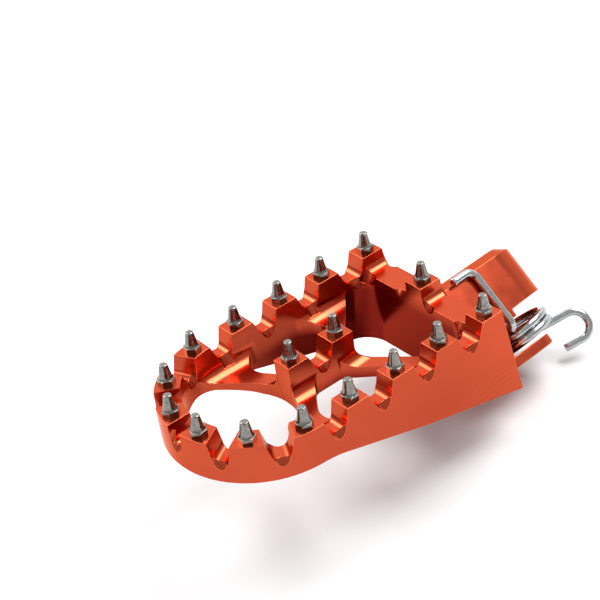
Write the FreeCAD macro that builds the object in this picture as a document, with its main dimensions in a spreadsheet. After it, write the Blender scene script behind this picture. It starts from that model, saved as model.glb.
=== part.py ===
"""Folding foot peg for an off-road motorcycle, left side.

The platform is built with its pad tops on z = 0 and its long axis on y = 0, +X inboard and +Y
forward.  The lug is built in its own frame: p inboard, q up, s along the pin bore.  Both are then
placed so that the middle of the pin bore is the part's origin.  Millimetres, +Z up.
"""
import FreeCAD, Part
import math
import os

doc = FreeCAD.newDocument("foot_peg")
sheet = doc.addObject("Spreadsheet::Sheet", "Sizes")

SIZES = {
    # platform plan
    "half_width": 28.5,
    "rim_width": 6.6,
    "toe_centre": 4.2,
    "toe_inner_shift": 0.9,
    "pad_length": 7.6,
    "column_pitch": 16.3,
    "last_column": 66.4,
    # platform depth
    "toe_depth": 12.2,
    "slope_start": 6.0,
    "middle_depth": 22.4,
    "end_depth": 31.5,
    "end_lean": 6.5,
    # webs between the rim and the middle bar, and the milled corners of the openings
    "web_top": 10.0,
    "web_height": 3.7,
    "floor_fillet": 4.15,
    "mill_radius": 6.35,
    "end_corner": 6.5,
    # notches between the pads
    "notch_depth": 5.8,
    "notch_radius": 2.5,
    "notch_taper": 0.21,
    "notch_skew": 0.6,
    "end_notch_depth": 5.0,
    "bite_radius": 2.8,
    "bite_drop": 2.3,
    "bite_slope": 60.0,
    # pin bore and lug
    "bore_radius": 5.05,
    "pivot_x": 93.94,
    "pivot_y": -2.09,
    "pivot_z": -26.34,
    "bore_tilt": 42.0,
    "bore_yaw": 4.0,
    "thick_ear": 18.3,
    "slot_width": 12.3,
    "thin_ear": 3.1,
    "thick_eye": 13.4,
    "ear_bevel_along": 3.3,
    "ear_bevel_across": 2.5,
    "thin_eye": 8.0,
    "face_boss": 0.3,
    "coil_clearance": 11.8,
    # traction pins
    "spike_collar": 2.6,
    "collar_height": 1.5,
    "ring_height": 0.5,
    "cone_base": 1.9,
    "cone_top": 1.15,
    "tip_round": 0.35,
    "spike_height": 6.2,
    "shank_radius": 1.45,
    "shank_length": 6.0,
    "hole_radius": 1.5,
    "hole_depth": 7.0,
    # return spring
    "wire_radius": 1.3,
    "coil_radius": 9.2,
    "coil_pitch": 2.7,
    "coil_lean": 6.0,
}
for row, (alias, size) in enumerate(SIZES.items(), start=1):
    sheet.set(f"A{row}", alias)
    sheet.set(f"B{row}", str(size))
    sheet.setAlias(f"B{row}", alias)
doc.recompute()

V = FreeCAD.Vector
Z_AXIS = V(0, 0, 1)


def size(alias):
    return float(sheet.get(alias))


def add(kind, name, **bound):
    """A Part object whose properties follow the sheet; dots in a property name are written as __."""
    made = doc.addObject(kind, name)
    for prop, formula in bound.items():
        made.setExpression(prop.replace("__", "."), formula)
    return made


def fuse(name, shapes):
    made = doc.addObject("Part::MultiFuse", name)
    made.Shapes = shapes
    return made


def cut(name, base, tools):
    made = doc.addObject("Part::Cut", name)
    made.Base = base
    made.Tool = tools[0] if len(tools) == 1 else fuse(name + "_tools", tools)
    return made


def common(name, base, tool):
    made = doc.addObject("Part::Common", name)
    made.Base = base
    made.Tool = tool
    return made


def profile(name, corners, depth, placement):
    """A closed outline of (x, y, corner radius) points, drawn as a sketch and extruded along its own z."""
    sketch = doc.addObject("Sketcher::SketchObject", name + "_sketch")
    sketch.Placement = placement
    count = len(corners)
    ends = []
    arcs = []
    for i, (x, y, radius) in enumerate(corners):
        here = V(x, y, 0)
        back = (V(*corners[i - 1][:2], 0) - here).normalize()
        ahead = (V(*corners[(i + 1) % count][:2], 0) - here).normalize()
        if radius <= 0:
            ends.append((here, here))
            continue
        half = back.getAngle(ahead) / 2
        reach = radius / math.tan(half)
        first = here + back * reach
        last = here + ahead * reach
        middle = here + (back + ahead).normalize() * (radius / math.sin(half) - radius)
        ends.append((first, last))
        arcs.append(Part.Arc(first, middle, last))
    lines = []
    for i in range(count):
        start = ends[i][1]
        stop = ends[(i + 1) % count][0]
        if start.distanceToPoint(stop) > 1e-6:
            lines.append(Part.LineSegment(start, stop))
    sketch.addGeometry(lines + arcs, False)
    made = add("Part::Extrusion", name, LengthFwd=depth)
    made.Base = sketch
    made.DirMode = "Normal"
    made.Solid = True
    return made


def prism(name, corners, low, high):
    """An upright prism between two heights."""
    return profile(name, corners, f"{high - low}", FreeCAD.Placement(V(0, 0, low), FreeCAD.Rotation()))


def edges_where(shape, wanted):
    return [i for i, edge in enumerate(shape.Edges, start=1) if wanted(edge)]


def fillet(name, base, radius, wanted):
    """Round every edge of base that wanted() accepts."""
    doc.recompute()
    made = doc.addObject("Part::Fillet", name)
    made.Base = base
    made.Edges = [(i, radius, radius) for i in edges_where(base.Shape, wanted)]
    return made


# ---------------------------------------------------------------- places worked out from the sheet
half_width = size("half_width")
inner = half_width - size("rim_width")
rim_middle = half_width - size("rim_width") / 2
half_pad = size("pad_length") / 2
end_top = size("last_column") + half_pad
end_inner = size("last_column") - half_pad
toe_angles = [98.0, 133.5, 165.5, 194.5, 226.5, 262.0]
columns = [i * size("column_pitch") for i in range(4)] + [size("last_column")]
toe_x = size("toe_centre")
toe_inner_x = toe_x + size("toe_inner_shift")
web_top = -size("web_top")
web_base = web_top - size("web_height")
LOW = -60.0
ABOVE = 3.0
UPRIGHT = FreeCAD.Rotation(V(1, 0, 0), 90)

pivot = V(size("pivot_x"), size("pivot_y"), size("pivot_z"))
to_origin = FreeCAD.Placement(V(0, 0, 0) - pivot, FreeCAD.Rotation())
tilt = math.radians(size("bore_tilt"))
yaw = math.radians(size("bore_yaw"))
bore_axis = V(math.sin(yaw) * math.cos(tilt), -math.cos(yaw) * math.cos(tilt), -math.sin(tilt))
inboard = V(math.cos(yaw), math.sin(yaw), 0)
upward = bore_axis.cross(inboard)
lug_turn = FreeCAD.Rotation(inboard, upward, bore_axis, "XYZ")
bore_length = size("thick_ear") + size("slot_width") + size("thin_ear")


def lug_place(s):
    """Placement of the lug frame, s millimetres along the bore from the thick ear's outer face."""
    return FreeCAD.Placement(pivot + bore_axis * (s - bore_length / 2), lug_turn)


# ---------------------------------------------------------------- platform
def outer_solid():
    """The whole platform before anything is milled out of it."""
    side = profile("side_profile", [
        (-half_width, 0, 0),
        (end_top, 0, 0),
        (end_top + size("end_lean"), -size("end_depth"), 0),
        (40.0, -size("middle_depth"), 200),
        (size("slope_start"), -size("toe_depth"), 30),
        (-half_width, -size("toe_depth"), 0),
    ], "Sizes.half_width * 2", FreeCAD.Placement(V(0, half_width, 0), UPRIGHT))
    toe = add("Part::Cylinder", "toe_round", Radius="Sizes.half_width")
    toe.Height = 70
    toe.Placement.Base = V(toe_x, 0, LOW)
    straight = prism("straight_part", [
        (toe_x, -half_width, 0),
        (toe_x + 90, -half_width, 0),
        (toe_x + 90, half_width, 0),
        (toe_x, half_width, 0),
    ], LOW, 10)
    return common("outer_solid", side, fuse("plan_outline", [toe, straight]))


def inside(name, low, high):
    """Everything within the rim, between two heights."""
    corner = size("end_corner")
    toe = doc.addObject("Part::Cylinder", name + "_toe")
    toe.Radius = inner
    toe.Height = high - low
    toe.Placement.Base = V(toe_inner_x, 0, low)
    straight = prism(name + "_straight", [
        (toe_inner_x, -inner, 0),
        (end_inner, -inner, corner),
        (end_inner, inner, corner),
        (toe_inner_x, inner, 0),
    ], low, high)
    return fuse(name, [toe, straight])


def top_pocket():
    """The pocket milled down to the web tops round the middle bar, with a rounded foot to every wall."""
    half_bar = size("rim_width") / 2
    bar = prism("middle_bar", [
        (columns[1] - half_pad, -half_bar, 0),
        (columns[2] + half_pad, -half_bar, 0),
        (columns[2] + half_pad, half_bar, 0),
        (columns[1] - half_pad, half_bar, 0),
    ], web_top - 1, ABOVE + 1)
    pocket = cut("square_pocket", inside("pocket_area", web_top, ABOVE), [bar])

    def on_floor(edge):
        return abs(edge.BoundBox.ZMax - web_top) < 1e-6

    return fillet("top_pocket", pocket, size("floor_fillet"), on_floor)


def openings():
    """The four holes right through the platform, and the relief under the webs."""
    mill = size("mill_radius")
    half_bar = size("rim_width") / 2
    toe_edge = 20.6
    reach = 50.0
    wedge = prism("toe_wedge", [
        (toe_edge, 0, 18.0),
        (toe_edge - reach, reach, 0),
        (toe_edge - reach, -reach, 0),
    ], LOW, ABOVE)
    toe_hole = common("toe_sharp", inside("toe_area", LOW, ABOVE), wedge)

    def at_web_corner(edge):
        upright = edge.BoundBox.ZLength > 50 and len(edge.Vertexes) == 2
        return upright and edge.Vertexes[0].X < 0 and abs(edge.Vertexes[0].Y) > 15

    holes = [fillet("toe_opening", toe_hole, mill, at_web_corner)]
    for name, way in (("forward_opening", 1), ("rear_opening", -1)):
        holes.append(prism(name, [
            (20.8, way * half_bar, 3.0),
            (30.6, way * half_bar, 3.0),
            (50.4, way * inner, mill),
            (7.7, way * inner, mill),
        ], LOW, ABOVE))
    holes.append(prism("inboard_opening", [
        (34.9, 0, 5.5),
        (54.3, -inner, 3.5),
        (end_inner, -inner, size("end_corner")),
        (end_inner, inner, size("end_corner")),
        (54.3, inner, 3.5),
    ], LOW, ABOVE))
    return holes + [inside("underside_relief", LOW, web_base)]


def notch(name, width, depth, taper, skew, run, placement):
    """A round-cornered cutter: width along x, narrowing as it goes down from z = 0."""
    foot = width / 2 - taper
    radius = min(size("notch_radius"), foot)
    return profile(name, [
        (skew - foot, -depth, radius),
        (skew + foot, -depth, radius),
        (width / 2, 0, 0),
        (width / 2, ABOVE, 0),
        (-width / 2, ABOVE, 0),
        (-width / 2, 0, 0),
    ], run, placement)


def bite(name, x, y, heading, depth):
    """A round cut that slopes steeply down through the edge of a notch floor at (x, y)."""
    out = V(math.cos(math.radians(heading)), math.sin(math.radians(heading)), 0)
    slope = math.radians(size("bite_slope"))
    down = out * math.cos(slope) - Z_AXIS * math.sin(slope)
    lift = (out * math.sin(slope) + Z_AXIS * math.cos(slope)) * size("bite_radius")
    made = add("Part::Cylinder", name, Radius="Sizes.bite_radius")
    made.Height = 7.0
    start = V(x, y, -depth - size("bite_drop")) + lift - down * 6.0
    made.Placement = FreeCAD.Placement(start, FreeCAD.Rotation(Z_AXIS, down))
    return made


def notches():
    cutters = []
    deep = size("notch_depth")
    skew = size("notch_skew")
    across = "Sizes.half_width * 2 + 4"
    half_bar = size("rim_width") / 2
    edges = [toe_x + rim_middle * math.cos(math.radians(toe_angles[0]))] + columns[1:]
    for i in range(4):
        gap = edges[i + 1] - edges[i] - size("pad_length")
        centre = (edges[i + 1] + edges[i]) / 2
        place = FreeCAD.Placement(V(centre, half_width + 2, 0), UPRIGHT)
        taper = gap * size("notch_taper")
        cutters.append(notch(f"row_notch_{i + 1}", gap, deep, taper, skew, across, place))
        walls = [(half_width, 90), (inner, -90), (-inner, 90), (-half_width, -90)]
        if i == 1:
            walls += [(half_bar, 90), (-half_bar, -90)]
        for j, (y, heading) in enumerate(walls):
            cutters.append(bite(f"row_bite_{i + 1}_{j + 1}", centre + skew, y, heading, deep))
    for i in range(5):
        angle = (toe_angles[i] + toe_angles[i + 1]) / 2
        gap = math.radians(toe_angles[i + 1] - toe_angles[i]) * rim_middle - size("pad_length")
        turn = FreeCAD.Rotation(Z_AXIS, angle - 90).multiply(UPRIGHT)
        out = V(math.cos(math.radians(angle)), math.sin(math.radians(angle)), 0)
        far = out * (half_width + 2) + V(toe_x, 0, 0)
        taper = gap * size("notch_taper")
        place = FreeCAD.Placement(far, turn)
        cutters.append(notch(f"toe_notch_{i + 1}", gap, deep, taper, 0, "Sizes.rim_width + 6", place))
        outside = out * half_width + V(toe_x, 0, 0)
        within = out * inner + V(toe_inner_x, 0, 0)
        cutters.append(bite(f"toe_bite_{i + 1}_1", outside.x, outside.y, angle, deep))
        cutters.append(bite(f"toe_bite_{i + 1}_2", within.x, within.y, angle + 180, deep))
    deep = size("end_notch_depth")
    gap = inner - half_bar
    leaned = end_top + size("end_lean") * deep / size("end_depth")
    for i, side in enumerate((-1, 1)):
        centre = side * (inner + half_bar) / 2
        turn = FreeCAD.Rotation(Z_AXIS, -90).multiply(UPRIGHT)
        place = FreeCAD.Placement(V(end_top + 8, centre, 0), turn)
        cutters.append(notch(f"end_notch_{i + 1}", gap, deep, 0.4, 0, "Sizes.rim_width + 14", place))
        for j, step in enumerate((-1, 1)):
            y = centre + step * (gap / 2 - size("bite_radius"))
            cutters.append(bite(f"end_bite_{i + 1}_{j + 1}", end_inner, y, 180, deep))
            cutters.append(bite(f"end_bite_{i + 1}_{j + 3}", leaned, y, 0, deep))
    return cutters


# ---------------------------------------------------------------- lug
def lug():
    """Two ears round the pin bore with the spring slot between them, and the root that joins them."""
    eye = size("thick_eye")
    thin = size("thin_eye")
    back = -30.0
    thick_ear = profile("thick_ear", [
        (back, eye, 0),
        (eye, eye, eye - 0.5),
        (eye + 0.8, -2.0, 25),
        (20.2, -26.6, 0),
        (11.0, -26.6, 4.0),
        (-4.0, -19.0, 6.0),
        (back, -19.0, 0),
    ], "Sizes.thick_ear", lug_place(0))
    doc.recompute()
    outer_face = lug_place(0)
    bevelled = doc.addObject("Part::Chamfer", "bevelled_ear")
    bevelled.Base = thick_ear

    def on_outer_face(edge):
        spots = [outer_face.inverse().multVec(edge.valueAt(t)) for t in edge.ParameterRange]
        flat = all(abs(spot.z) < 1e-6 for spot in spots)
        return flat and max(spot.x for spot in spots) > 0 and max(spot.y for spot in spots) > -20.0

    across = size("ear_bevel_across")
    along = size("ear_bevel_along")
    bevelled.Edges = [(i, across, along) for i in edges_where(thick_ear.Shape, on_outer_face)]
    clearance = size("coil_clearance")
    neck = profile("slot_neck", [
        (back, eye, 0),
        (-3.5, eye, 3.0),
        (-3.5, 7.5, 0),
        (-clearance, -1.0, 0),
        (-clearance, -19.0, 0),
        (back, -19.0, 0),
    ], "2.6", lug_place(size("thick_ear") - 0.1))
    root = profile("slot_root", [
        (back, 9.0, 0),
        (-clearance - 1, 9.0, 3.0),
        (-clearance - 1, -19.0, 0),
        (back, -19.0, 0),
    ], "Sizes.slot_width + 0.2", lug_place(size("thick_ear") - 0.1))
    thin_ear = profile("thin_ear", [
        (back, thin, 0),
        (thin, thin, thin - 0.3),
        (thin, -thin, thin - 0.3),
        (-6.0, -thin, 6.0),
        (-16.0, -19.0, 0),
        (back, -19.0, 0),
    ], "Sizes.thin_ear - Sizes.face_boss", lug_place(size("thick_ear") + size("slot_width")))
    boss = add("Part::Cylinder", "thin_ear_boss", Radius="Sizes.thin_eye - 0.3", Height="Sizes.thin_ear")
    boss.Placement = lug_place(size("thick_ear") + size("slot_width"))
    keep = profile("lug_limits", [
        (end_inner + 1.0, -1.0, 0),
        (130, -1.0, 0),
        (130, -60.0, 0),
        (86.0, -60.0, 0),
        (86.0, -47.0, 0),
        (end_inner + 5.0, -29.0, 0),
    ], "100", FreeCAD.Placement(V(0, 50, 0), UPRIGHT))
    return common("lug", fuse("lug_pieces", [bevelled, neck, root, thin_ear, boss]), keep)


def peg_body(spike_places):
    milled = cut("milled_platform", outer_solid(), [top_pocket()] + openings())
    blank = fuse("blank", [milled, lug()])
    tools = notches()
    bore = add("Part::Cylinder", "pin_bore", Radius="Sizes.bore_radius",
               Height="Sizes.thick_ear + Sizes.slot_width + Sizes.thin_ear + 10")
    bore.Placement = lug_place(-5)
    tools.append(bore)
    for i, (x, y) in enumerate(spike_places):
        hole = add("Part::Cylinder", f"pin_hole_{i + 1}", Radius="Sizes.hole_radius",
                   Height="Sizes.hole_depth + 1")
        hole.Placement.Base = V(x, y, -size("hole_depth"))
        tools.append(hole)
    body = cut("peg_body", blank, tools)
    body.Label = "peg_body"
    body.Placement = to_origin
    return body


# ---------------------------------------------------------------- traction pins
def spike_positions():
    """Clockwise from the forward side of the toe, then the two in the middle."""
    places = []
    for degrees in toe_angles:
        angle = math.radians(degrees)
        places.append((toe_x + rim_middle * math.cos(angle), rim_middle * math.sin(angle)))
    places += [(x, -rim_middle) for x in columns[1:]]
    places += [(columns[4], 0.0)]
    places += [(x, rim_middle) for x in reversed(columns[1:])]
    places += [(columns[1], 0.0), (columns[2], 0.0)]
    return places


def traction_pin(number, x, y):
    name = f"traction_pin_{number:02d}"
    collar = add("Part::Prism", name + "_collar", Circumradius="Sizes.spike_collar",
                 Height="Sizes.collar_height")
    collar.Polygon = 6
    ring = add("Part::Cone", name + "_ring", Radius1="Sizes.spike_collar * 0.84", Radius2="Sizes.cone_base",
               Height="Sizes.ring_height", Placement__Base__z="Sizes.collar_height")
    cone = add("Part::Cone", name + "_cone", Radius1="Sizes.cone_base", Radius2="Sizes.cone_top",
               Height="Sizes.spike_height - Sizes.collar_height - Sizes.ring_height",
               Placement__Base__z="Sizes.collar_height + Sizes.ring_height")

    def on_top(edge):
        return abs(edge.BoundBox.ZMin - size("spike_height")) < 1e-6

    tip = fillet(name + "_tip", cone, size("tip_round"), on_top)
    shank = add("Part::Cylinder", name + "_shank", Radius="Sizes.shank_radius", Height="Sizes.shank_length")
    shank.Placement.Base = V(0, 0, -size("shank_length"))
    pin = fuse(name, [collar, ring, tip, shank])
    pin.Label = name
    turn = 17.0 * number
    pin.Placement = FreeCAD.Placement(V(x, y, 0) - pivot, FreeCAD.Rotation(Z_AXIS, turn))
    return pin


# ---------------------------------------------------------------- return spring
def wire_run(points, radii):
    """Straight runs joined by tangent arcs, as edges."""
    edges = []
    start = points[0]
    for i in range(1, len(points) - 1):
        here = points[i]
        back = (points[i - 1] - here).normalize()
        ahead = (points[i + 1] - here).normalize()
        half = back.getAngle(ahead) / 2
        reach = radii[i - 1] / math.tan(half)
        first = here + back * reach
        last = here + ahead * reach
        middle = here + (back + ahead).normalize() * (radii[i - 1] / math.sin(half) - radii[i - 1])
        edges.append(Part.LineSegment(start, first).toShape())
        edges.append(Part.Arc(first, middle, last).toShape())
        start = last
    edges.append(Part.LineSegment(start, points[-1]).toShape())
    return edges


def round_wire(edges):
    path = Part.Wire(Part.__sortEdges__(edges))
    start = edges[0].valueAt(edges[0].FirstParameter)
    heading = edges[0].tangentAt(edges[0].FirstParameter)
    ring = Part.Wire(Part.Circle(start, heading, size("wire_radius")).toShape())
    return path.makePipeShell([ring], True, True)


def spring_parts():
    """The coil hangs a little off the bore axis and leans, so it is drawn in a frame of its own."""
    radius = size("coil_radius")
    pitch = size("coil_pitch")
    lean = math.radians(size("coil_lean"))
    lean_way = math.radians(121)
    coil_axis = V(-math.sin(lean) * math.cos(lean_way), -math.sin(lean) * math.sin(lean_way), math.cos(lean))
    coil_place = FreeCAD.Placement(V(1.9, 0.9, 22.3), FreeCAD.Rotation(Z_AXIS, coil_axis))
    start_angle = math.radians(188)
    turned = math.radians(2 * 360 + 115)

    def coil_point(angle):
        around = V(math.cos(start_angle + angle), math.sin(start_angle + angle), 0) * radius
        return coil_place.multVec(around + V(0, 0, pitch * angle / (2 * math.pi)))

    def coil_heading(angle):
        slope = pitch / (2 * math.pi * radius)
        around = V(-math.sin(start_angle + angle), math.cos(start_angle + angle), slope)
        return coil_place.Rotation.multVec(around.normalize())

    coil = Part.makeHelix(pitch, pitch * turned / (2 * math.pi), radius)
    turned_to_start = FreeCAD.Placement(V(0, 0, 0), FreeCAD.Rotation(Z_AXIS, math.degrees(start_angle)))
    coil.Placement = coil_place.multiply(turned_to_start)
    rest_q = size("thick_eye") + size("wire_radius") + 0.05
    first = coil_point(0)
    heading = coil_heading(0)
    corner = first + heading * ((rest_q - first.y) / heading.y)
    along = 2.0
    leg = wire_run([
        V(corner.x - 8.5, rest_q, along),
        V(corner.x, rest_q, along),
        corner,
        first,
    ], [3.0, 3.0])
    fixed = round_wire(leg + coil.Edges)

    last = coil_point(turned)
    way = coil_heading(turned)
    slanted = (way + V(0, 0, 0.09)).normalize()
    bend = 4.7
    knee = last + way * 3.0
    elbow = knee + slanted * (12.0 + bend)
    across = V(0, 0, 2 * bend)
    tail = wire_run([
        last,
        knee,
        elbow,
        elbow + across,
        elbow + across - slanted * (bend + 6.4),
    ], [12.0, bend - 0.3, bend - 0.3])
    hook = round_wire(tail)
    return fixed, hook


def placed_feature(name, shape):
    made = doc.addObject("Part::Feature", name)
    made.Label = name
    made.Shape = shape
    home = lug_place(0)
    made.Placement = FreeCAD.Placement(home.Base - pivot, home.Rotation)
    return made


# ---------------------------------------------------------------- build, check and write
places = spike_positions()
nodes = [peg_body(places)]
for number, (x, y) in enumerate(places, start=1):
    nodes.append(traction_pin(number, x, y))
fixed_shape, hook_shape = spring_parts()
nodes.append(placed_feature("return_spring", fixed_shape))
nodes.append(placed_feature("spring_hook", hook_shape))
doc.recompute()

for item in doc.Objects:
    if "Invalid" in item.State or "Error" in item.State:
        raise RuntimeError(f"{item.Label} failed: {item.State}")
os.makedirs("parts", exist_ok=True)
for node in nodes:
    if node.Shape.isNull() or not node.Shape.isValid():
        raise RuntimeError(f"{node.Label} has no valid shape")
    node.Shape.exportStep(f"parts/{node.Label}.step")
    print(f"{node.Label:20s} solids {len(node.Shape.Solids)} volume {node.Shape.Volume:9.1f}")
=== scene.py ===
"""The finished look of the folding foot peg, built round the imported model.

Metres, in the model's own frame: the origin is the middle of the pin bore, +X inboard, +Y forward, +Z up.
The spring's constants repeat the part's own measures, in millimetres.
"""

import math

import bmesh
import bpy
from mathutils import Matrix, Vector


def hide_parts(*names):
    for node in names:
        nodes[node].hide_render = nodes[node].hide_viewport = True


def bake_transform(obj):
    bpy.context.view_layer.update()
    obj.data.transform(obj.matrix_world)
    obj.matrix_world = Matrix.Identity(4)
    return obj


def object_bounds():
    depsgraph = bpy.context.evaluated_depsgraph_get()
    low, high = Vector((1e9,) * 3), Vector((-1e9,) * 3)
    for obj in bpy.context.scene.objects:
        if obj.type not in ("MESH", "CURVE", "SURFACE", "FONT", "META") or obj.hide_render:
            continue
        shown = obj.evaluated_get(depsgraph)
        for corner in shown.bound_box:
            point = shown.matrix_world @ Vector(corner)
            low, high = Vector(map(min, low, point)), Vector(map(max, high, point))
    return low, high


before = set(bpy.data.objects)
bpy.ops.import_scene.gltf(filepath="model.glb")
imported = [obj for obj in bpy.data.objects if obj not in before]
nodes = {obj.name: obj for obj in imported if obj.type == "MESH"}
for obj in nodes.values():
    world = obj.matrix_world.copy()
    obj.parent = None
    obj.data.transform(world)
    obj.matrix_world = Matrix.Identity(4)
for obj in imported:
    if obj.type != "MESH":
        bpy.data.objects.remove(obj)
cad_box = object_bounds()
MM = 0.001
PIN_NAMES = sorted(name for name in nodes if name.startswith("traction_pin"))

# The body's measures that the materials go by.
PAD_TOP = 26.34 * MM
PLATFORM_MIDDLE = 2.09 * MM
RIM_INSIDE = 22.0 * MM
PLATFORM_END = -31.2 * MM
REAR_WALL = -26.3 * MM


# ---------------------------------------------------------------- shader nodes
class Shader:
    """A small wrapper that adds and links shader nodes."""

    def __init__(self, name):
        self.material = bpy.data.materials.new(name)
        self.material.use_nodes = True
        self.tree = self.material.node_tree
        self.surface = self.tree.nodes["Principled BSDF"]
        self.place = self.add("ShaderNodeTexCoord").outputs["Object"]

    def add(self, kind, **settings):
        node = self.tree.nodes.new(kind)
        for key, value in settings.items():
            setattr(node, key, value)
        return node

    def link(self, source, target):
        self.tree.links.new(source, target)

    def put(self, target, value):
        """Set a socket to a plain value, or link it if it is given another node's output."""
        if hasattr(value, "is_linked"):
            self.link(value, target)
        else:
            target.default_value = value

    def stretched(self, x, y, z):
        """Object coordinates scaled differently along each axis, for streaks."""
        mapping = self.add("ShaderNodeMapping")
        self.link(self.place, mapping.inputs["Vector"])
        mapping.inputs["Scale"].default_value = (x, y, z)
        return mapping.outputs["Vector"]

    def noise(self, scale, detail=2.0, where=None):
        node = self.add("ShaderNodeTexNoise")
        self.link(where or self.place, node.inputs["Vector"])
        node.inputs["Scale"].default_value = scale
        node.inputs["Detail"].default_value = detail
        return node.outputs["Fac"]

    def spread(self, value, low, high, to_low=0.0, to_high=1.0):
        """A clamped ramp from to_low, where value is low, to to_high, where it is high."""
        node = self.add("ShaderNodeMapRange")
        self.put(node.inputs["Value"], value)
        for key, number in zip(("From Min", "From Max", "To Min", "To Max"), (low, high, to_low, to_high)):
            node.inputs[key].default_value = number
        return node.outputs["Result"]

    def math(self, operation, first, second=0.0):
        node = self.add("ShaderNodeMath", operation=operation)
        self.put(node.inputs[0], first)
        self.put(node.inputs[1], second)
        return node.outputs[0]

    def mix(self, share, first, second):
        node = self.add("ShaderNodeMix", data_type="RGBA")
        self.put(node.inputs["Factor"], share)
        self.put(node.inputs["A"], first)
        self.put(node.inputs["B"], second)
        return node.outputs["Result"]

    def product(self, *values):
        result = values[0]
        for value in values[1:]:
            result = self.math("MULTIPLY", result, value)
        return result

    def axis(self, index):
        """The X, Y or Z coordinate, for an index of 0, 1 or 2."""
        split = self.add("ShaderNodeSeparateXYZ")
        self.link(self.place, split.inputs[0])
        return split.outputs[index]

    def bump(self, height, strength, distance, below=None):
        node = self.add("ShaderNodeBump")
        node.inputs["Strength"].default_value = strength
        node.inputs["Distance"].default_value = distance
        self.link(height, node.inputs["Height"])
        if below is not None:
            self.link(below, node.inputs["Normal"])
        return node.outputs["Normal"]

    def finish(self, **sockets):
        for key, value in sockets.items():
            self.put(self.surface.inputs[key.replace("_", " ")], value)
        return self.material


MILLED_LINE = (0.80, 0.20, 0.10, 1.0)
# Shares of the alloy colour kept where the pockets are painted darker as shade.
POCKET_SHADE_SHARES = (0.46, 0.17, 0.20)
# The dark colour of the painted shade at a pin's foot.
PIN_FOOT_SHADE = (0.10, 0.085, 0.08, 1.0)


def anodised(name, deep, light, rough_low, rough_high):
    """Orange anodised alloy: a satin metal under a thin clear oxide, with the faint paths of the cutter, and
    painted shade darkening its pockets.
    """
    s = Shader(name)
    cloud = s.spread(s.noise(60.0, 2.0), 0.3, 0.7)
    passes = cutter_passes(s)
    # Painted shade: the pocket colour is a darkened copy of the alloy colour, standing in for the shade deep
    # in the pockets.
    pocket_shade = tuple(channel * share for channel, share in zip(deep, POCKET_SHADE_SHARES)) + (1.0,)
    tone_with_pocket_shade = s.mix(painted_pocket_shade(s), s.mix(cloud, deep, light), pocket_shade)
    colour = s.mix(s.product(passes, 0.35), tone_with_pocket_shade, MILLED_LINE)
    grain = s.noise(5200.0, 2.0)
    paths = s.noise(1.0, 1.0, s.stretched(160.0, 160.0, 2600.0))
    rough = s.spread(s.noise(240.0, 3.0), 0.3, 0.7, rough_low, rough_high)
    fine = s.bump(grain, 0.05, 0.02 * MM)
    milled = s.bump(paths, 0.10, 0.03 * MM, fine)
    normal = s.bump(passes, 0.35, 0.03 * MM, milled)
    return s.finish(Base_Color=colour, Metallic=1.0, Roughness=rough, Normal=normal,
                    Specular_Tint=(0.95, 0.55, 0.45, 1.0),
                    Coat_Weight=0.10, Coat_Roughness=0.14, Coat_IOR=1.5)


def painted_pocket_shade(s):
    """Painted shade: 1 deep in the inboard opening and below the webs, where the colour is darkened most to
    stand in for shade, and 0 on the outer faces.
    """
    x, z = s.axis(0), s.axis(2)
    from_middle = s.math("ABSOLUTE", s.math("SUBTRACT", s.axis(1), PLATFORM_MIDDLE))
    between_rims = s.spread(from_middle, RIM_INSIDE, RIM_INSIDE + 0.3 * MM, 1.0, 0.0)
    on_platform = s.spread(x, PLATFORM_END, PLATFORM_END + 0.2 * MM, 1.0, 0.0)
    inboard_part = s.product(s.spread(x, -52 * MM, -40 * MM), s.spread(z, 22.5 * MM, 17.0 * MM))
    under_webs = s.product(s.spread(x, -86 * MM, -66 * MM), s.spread(z, 16.2 * MM, 13.0 * MM))
    return s.product(between_rims, on_platform, s.math("MAXIMUM", inboard_part, under_webs))


def cutter_passes(s):
    """Fine slanting lines that the cutter left low on the inboard end of the rear wall."""
    slope, spacing, width = 0.11, 0.95 * MM, 0.17 * MM
    x, z = s.axis(0), s.axis(2)
    drift = s.product(s.noise(35.0, 1.0), 1.6 * MM)
    slanted = s.math("ADD", s.math("SUBTRACT", z, s.product(x, slope)), drift)
    line = s.spread(s.math("PINGPONG", slanted, spacing), 0.0, width, 1.0, 0.0)
    inboard_end = s.spread(x, -42 * MM, -32 * MM)
    low_part = s.spread(z, 5 * MM, 7.5 * MM, 1.0, 0.0)
    on_wall = s.spread(s.axis(1), REAR_WALL, REAR_WALL + 0.3 * MM, 1.0, 0.0)
    return s.product(line, inboard_end, low_part, on_wall)


def steel(name, dark, light, rough_low, rough_high, ring_scale, shaded_foot):
    """Bare steel with fine turning or drawing marks, and for a pin painted shade, darker where it meets its
    pad.
    """
    s = Shader(name)
    colour = s.mix(s.spread(s.noise(1500.0, 3.0), 0.3, 0.7), dark, light)
    if shaded_foot:
        # Painted shade: the pin is darkened towards the pad top, standing in for the shade at its foot.
        colour = s.mix(s.spread(s.axis(2), PAD_TOP, PAD_TOP + 1.6 * MM, 0.55, 0.0), colour, PIN_FOOT_SHADE)
    rings = s.noise(1.0, 2.0, s.stretched(*ring_scale))
    rough = s.spread(s.noise(900.0, 3.0), 0.3, 0.7, rough_low, rough_high)
    normal = s.bump(rings, 0.25, 0.05 * MM)
    return s.finish(Base_Color=colour, Metallic=1.0, Roughness=rough, Normal=normal)


# ---------------------------------------------------------------- materials
alloy = anodised("orange_anodised_alloy", (0.485, 0.066, 0.026, 1.0), (0.525, 0.075, 0.031, 1.0),
                 rough_low=0.19, rough_high=0.25)
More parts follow.
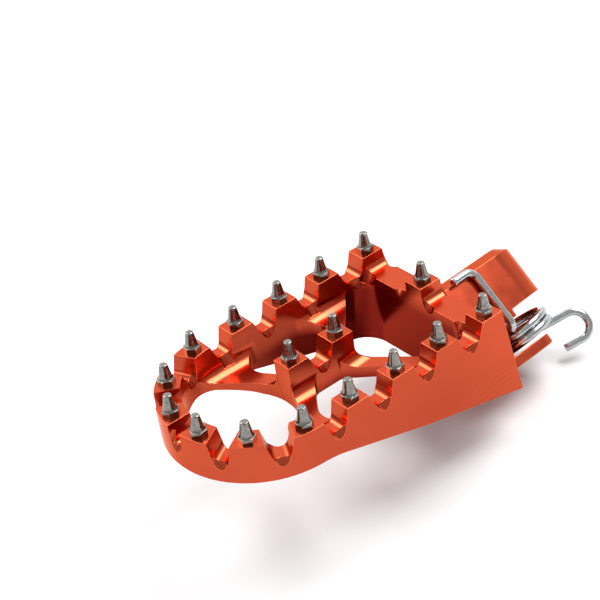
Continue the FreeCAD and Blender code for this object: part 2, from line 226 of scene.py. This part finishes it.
# Painted highlight: a lighter copy of the alloy for the rounded edges, so that they shine.
alloy_edge_highlight = anodised("orange_anodised_edge_highlight", (0.62, 0.105, 0.040, 1.0), (0.70, 0.14, 0.060, 1.0),
                      rough_low=0.22, rough_high=0.32)
pin_steel = steel("turned_pin_steel", (0.16, 0.155, 0.14, 1.0), (0.30, 0.29, 0.27, 1.0),
                  rough_low=0.12, rough_high=0.22, ring_scale=(300.0, 300.0, 6000.0), shaded_foot=True)
spring_steel = steel("bright_spring_wire", (0.36, 0.38, 0.38, 1.0), (0.50, 0.52, 0.52, 1.0),
                     rough_low=0.08, rough_high=0.15, ring_scale=(3000.0, 600.0, 600.0), shaded_foot=False)


def dress(piece, *materials):
    piece.data.materials.clear()
    for material in materials:
        piece.data.materials.append(material)


# ---------------------------------------------------------------- the milled body and its pins
def small_edges(piece, width, edge_highlight_slot=-1):
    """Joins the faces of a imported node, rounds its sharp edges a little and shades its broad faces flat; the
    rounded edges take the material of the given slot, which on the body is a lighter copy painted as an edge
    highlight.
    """
    weld = piece.modifiers.new("weld", "WELD")
    weld.merge_threshold = 2e-6
    flat = piece.modifiers.new("flat", "DECIMATE")
    flat.decimate_type = "DISSOLVE"
    flat.angle_limit = math.radians(0.05)
    bevel = piece.modifiers.new("edges", "BEVEL")
    bevel.width = width
    bevel.segments = 2
    bevel.offset_type = "WIDTH"
    bevel.limit_method = "ANGLE"
    bevel.angle_limit = math.radians(28)
    bevel.use_clamp_overlap = False
    bevel.harden_normals = True
    # The rounded edges take the given slot's material, on the body the painted edge highlight.
    bevel.material = edge_highlight_slot
    shading = piece.modifiers.new("shading", "WEIGHTED_NORMAL")
    shading.mode = "FACE_AREA_WITH_ANGLE"
    shading.weight = 70


body = nodes["peg_body"]
dress(body, alloy, alloy_edge_highlight)
small_edges(body, 0.16 * MM, edge_highlight_slot=1)
for pin_name in PIN_NAMES:
    dress(nodes[pin_name], pin_steel)
    small_edges(nodes[pin_name], 0.09 * MM)


# ---------------------------------------------------------------- the return spring
TILT = math.radians(42.0)
YAW = math.radians(4.0)
BORE_LENGTH = 33.7
bore_axis = Vector((math.sin(YAW) * math.cos(TILT), -math.cos(YAW) * math.cos(TILT), -math.sin(TILT)))
inboard = Vector((math.cos(YAW), math.sin(YAW), 0.0))
upward = bore_axis.cross(inboard)
WIRE = 1.3
COIL_RADIUS = 9.2
COIL_PITCH = 2.7
COIL_START = math.radians(188)
COIL_TURN = math.radians(2 * 360 + 115)
COIL_CENTRE = Vector((1.9, 0.9, 22.3))
LEAN = math.radians(6.0)
LEAN_WAY = math.radians(121)
coil_axis = Vector((-math.sin(LEAN) * math.cos(LEAN_WAY), -math.sin(LEAN) * math.sin(LEAN_WAY),
                    math.cos(LEAN)))
coil_turn = Vector((0, 0, 1)).rotation_difference(coil_axis).to_matrix()


def from_lug(point):
    """A point of the lug's own frame (inboard, up, along the bore, in millimetres) in the model's frame."""
    along = point.z - BORE_LENGTH / 2
    return (inboard * point.x + upward * point.y + bore_axis * along) * MM


def coil_point(angle):
    around = Vector((math.cos(COIL_START + angle), math.sin(COIL_START + angle), 0)) * COIL_RADIUS
    return COIL_CENTRE + coil_turn @ (around + Vector((0, 0, COIL_PITCH * angle / (2 * math.pi))))


def coil_heading(angle):
    slope = COIL_PITCH / (2 * math.pi * COIL_RADIUS)
    around = Vector((-math.sin(COIL_START + angle), math.cos(COIL_START + angle), slope))
    return (coil_turn @ around).normalized()


def rounded_run(points, radii, step=0.5):
    """Points along straight runs joined by tangent arcs."""
    made = []

    def straight(first, last):
        count = max(1, round((last - first).length / (3 * step)))
        made.extend(first.lerp(last, i / count) for i in range(count))

    start = points[0]
    for i in range(1, len(points) - 1):
        here = points[i]
        back = (points[i - 1] - here).normalized()
        ahead = (points[i + 1] - here).normalized()
        half = back.angle(ahead) / 2
        radius = radii[i - 1]
        first = here + back * (radius / math.tan(half))
        centre = here + (back + ahead).normalized() * (radius / math.sin(half))
        straight(start, first)
        spin = back.cross(ahead).normalized()
        sweep = math.pi - 2 * half
        count = max(4, round(radius * sweep / step))
        for k in range(count):
            turn = Matrix.Rotation(-sweep * k / count, 3, spin)
            made.append(centre + turn @ (first - centre))
        start = here + ahead * (radius / math.tan(half))
    straight(start, points[-1])
    made.append(points[-1])
    return made


LEG_SEAT = 13.4
LEG_GAP = 0.05
LEG_ACROSS = 2.0
LEG_END = 8.5
LEG_BEND = 3.0
COIL_STEPS = 150
KNEE_OUT = 3.0
KNEE_BEND = 12.0
TAIL_RISE = 0.09
TAIL_LENGTH = 12.0
HOOK_BEND = 4.7
HOOK_END = 6.4


def spring_path():
    """The middle line of the wire, from the leg's end on the long ear, through the coil, to the hook's end."""
    rest_height = LEG_SEAT + WIRE + LEG_GAP
    first = coil_point(0)
    heading = coil_heading(0)
    corner = first + heading * ((rest_height - first.y) / heading.y)
    on_ear = Vector((corner.x, rest_height, LEG_ACROSS))
    leg = rounded_run([on_ear - Vector((LEG_END, 0, 0)), on_ear, corner, first], [LEG_BEND, LEG_BEND])
    coil = [coil_point(COIL_TURN * i / COIL_STEPS) for i in range(1, COIL_STEPS)]
    last = coil_point(COIL_TURN)
    way = coil_heading(COIL_TURN)
    slanted = (way + Vector((0, 0, TAIL_RISE))).normalized()
    knee = last + way * KNEE_OUT
    elbow = knee + slanted * (TAIL_LENGTH + HOOK_BEND)
    far_elbow = elbow + Vector((0, 0, 2 * HOOK_BEND))
    hook_end = far_elbow - slanted * (HOOK_BEND + HOOK_END)
    tail = rounded_run([last, knee, elbow, far_elbow, hook_end],
                       [KNEE_BEND, HOOK_BEND - 0.3, HOOK_BEND - 0.3])
    return [from_lug(p) for p in leg + coil + tail]


END_CUT = 0.25 * MM
END_SHARE = 0.78


def wire_mesh(name, path, radius, sides=20):
    """A closed round bar along a path, and END_CUT past each end of it, where it has a small chamfer."""
    stations = []
    across = (path[1] - path[0]).orthogonal().normalized()
    for i, point in enumerate(path):
        ahead = (path[min(i + 1, len(path) - 1)] - path[max(i - 1, 0)]).normalized()
        across = (across - ahead * across.dot(ahead)).normalized()
        stations.append((point, ahead, across, radius))
    first, last = stations[0], stations[-1]
    stations.insert(0, (first[0] - first[1] * END_CUT, first[1], first[2], radius * END_SHARE))
    stations.append((last[0] + last[1] * END_CUT, last[1], last[2], radius * END_SHARE))

    mesh = bmesh.new()
    rings = []
    for point, ahead, side, reach in stations:
        up = ahead.cross(side)
        angles = [2 * math.pi * k / sides for k in range(sides)]
        rings.append([mesh.verts.new(point + (side * math.cos(a) + up * math.sin(a)) * reach) for a in angles])
    for near, far in zip(rings, rings[1:]):
        for k in range(sides):
            after = (k + 1) % sides
            mesh.faces.new((near[k], near[after], far[after], far[k]))
    mesh.faces.new(list(reversed(rings[0])))
    mesh.faces.new(rings[-1])
    bmesh.ops.recalc_face_normals(mesh, faces=mesh.faces)
    for face in mesh.faces:
        face.smooth = len(face.verts) == 4
    data = bpy.data.meshes.new(name)
    mesh.to_mesh(data)
    mesh.free()
    made = bpy.data.objects.new(name, data)
    bpy.context.scene.collection.objects.link(made)
    return made


path = spring_path()
path[0] += (path[1] - path[0]).normalized() * END_CUT
path[-1] += (path[-2] - path[-1]).normalized() * END_CUT
spring = wire_mesh("return_spring_wire", path, WIRE * MM)
dress(spring, spring_steel)
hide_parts("return_spring", "spring_hook")
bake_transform(spring)


# ---------------------------------------------------------------- stage, light and camera
PEG_MIDDLE = (-0.05, 0.0, 0.0)
CAMERA_SPOT = (-0.26524, -0.28021, 0.27754)
CAMERA_FORWARD = (0.467, 0.680, -0.565)
CAMERA_UP = (0.444, 0.372, 0.815)
TOWARD_BACK = (0.566, 0.824, 0.0)


def make_floor(radius=12.0, gap=0.2 * MM):
    """A wide level floor just under the model, which the hook turns away from."""
    mesh = bmesh.new()
    bmesh.ops.create_circle(mesh, cap_ends=True, segments=96, radius=radius)
    data = bpy.data.meshes.new("floor")
    mesh.to_mesh(data)
    mesh.free()
    floor = bpy.data.objects.new("floor", data)
    bpy.context.scene.collection.objects.link(floor)
    floor.location = (0, 0, cad_box[0][2] - gap)
    s = Shader("pale_floor")
    patches = s.spread(s.noise(40.0, 2.0), 0.3, 0.7)
    shade = s.mix(patches, (0.66, 0.66, 0.665, 1.0), (0.68, 0.68, 0.68, 1.0))
    dress(floor, s.finish(Base_Color=shade, Roughness=0.9, Specular_IOR_Level=0.1))


def softbox(name, offset, size, radiance):
    """A square light at an offset from the middle of the peg, facing it."""
    light = bpy.data.lights.new(name, "AREA")
    light.shape = "SQUARE"
    light.size = size
    light.energy = radiance * math.pi * size * size
    made = bpy.data.objects.new(name, light)
    bpy.context.scene.collection.objects.link(made)
    made.location = Vector(PEG_MIDDLE) + Vector(offset)
    made.rotation_mode = "QUATERNION"
    made.rotation_quaternion = (-Vector(offset)).to_track_quat("-Z", "Y")


def make_camera():
    data = bpy.data.cameras.new("camera")
    data.sensor_width = 36.0
    data.lens = 91.5
    data.clip_start = 0.01
    data.clip_end = 50.0
    camera = bpy.data.objects.new("camera", data)
    bpy.context.scene.collection.objects.link(camera)
    forward = Vector(CAMERA_FORWARD).normalized()
    up = Vector(CAMERA_UP)
    up = (up - forward * up.dot(forward)).normalized()
    right = forward.cross(up)
    turn = Matrix((right, up, -forward)).transposed()
    camera.matrix_world = Matrix.Translation(CAMERA_SPOT) @ turn.to_4x4()
    bpy.context.scene.camera = camera


def make_world():
    """A studio with a bright back wall, and sides that are grey near the ground and paler overhead."""
    world = bpy.data.worlds.new("studio")
    bpy.context.scene.world = world
    world.use_nodes = True
    tree = world.node_tree
    background = tree.nodes["Background"]

    def ramp(source, low, high, to_low, to_high):
        node = tree.nodes.new("ShaderNodeMapRange")
        for key, number in zip(("From Min", "From Max", "To Min", "To Max"), (low, high, to_low, to_high)):
            node.inputs[key].default_value = number
        tree.links.new(source, node.inputs["Value"])
        return node.outputs["Result"]

    place = tree.nodes.new("ShaderNodeTexCoord").outputs["Generated"]
    split = tree.nodes.new("ShaderNodeSeparateXYZ")
    tree.links.new(place, split.inputs[0])
    toward_back = tree.nodes.new("ShaderNodeVectorMath")
    toward_back.operation = "DOT_PRODUCT"
    tree.links.new(place, toward_back.inputs[0])
    toward_back.inputs[1].default_value = TOWARD_BACK
    both = tree.nodes.new("ShaderNodeMath")
    both.operation = "MULTIPLY"
    tree.links.new(ramp(split.outputs["Z"], 0.02, 0.35, 0.80, 1.0), both.inputs[0])
    tree.links.new(ramp(toward_back.outputs["Value"], 0.2, 0.7, 0.62, 1.45), both.inputs[1])
    background.inputs["Color"].default_value = (1.0, 1.0, 1.0, 1.0)
    tree.links.new(both.outputs[0], background.inputs["Strength"])


make_floor()
softbox("key_softbox", (0.42, -0.10, 0.78), size=0.55, radiance=10.0)
softbox("back_softbox", (-0.23, 0.61, 0.62), size=0.42, radiance=7.0)
softbox("left_softbox", (-0.80, 0.10, 0.50), size=0.35, radiance=2.5)
make_camera()
make_world()
bpy.context.scene.view_settings.view_transform = "Standard"
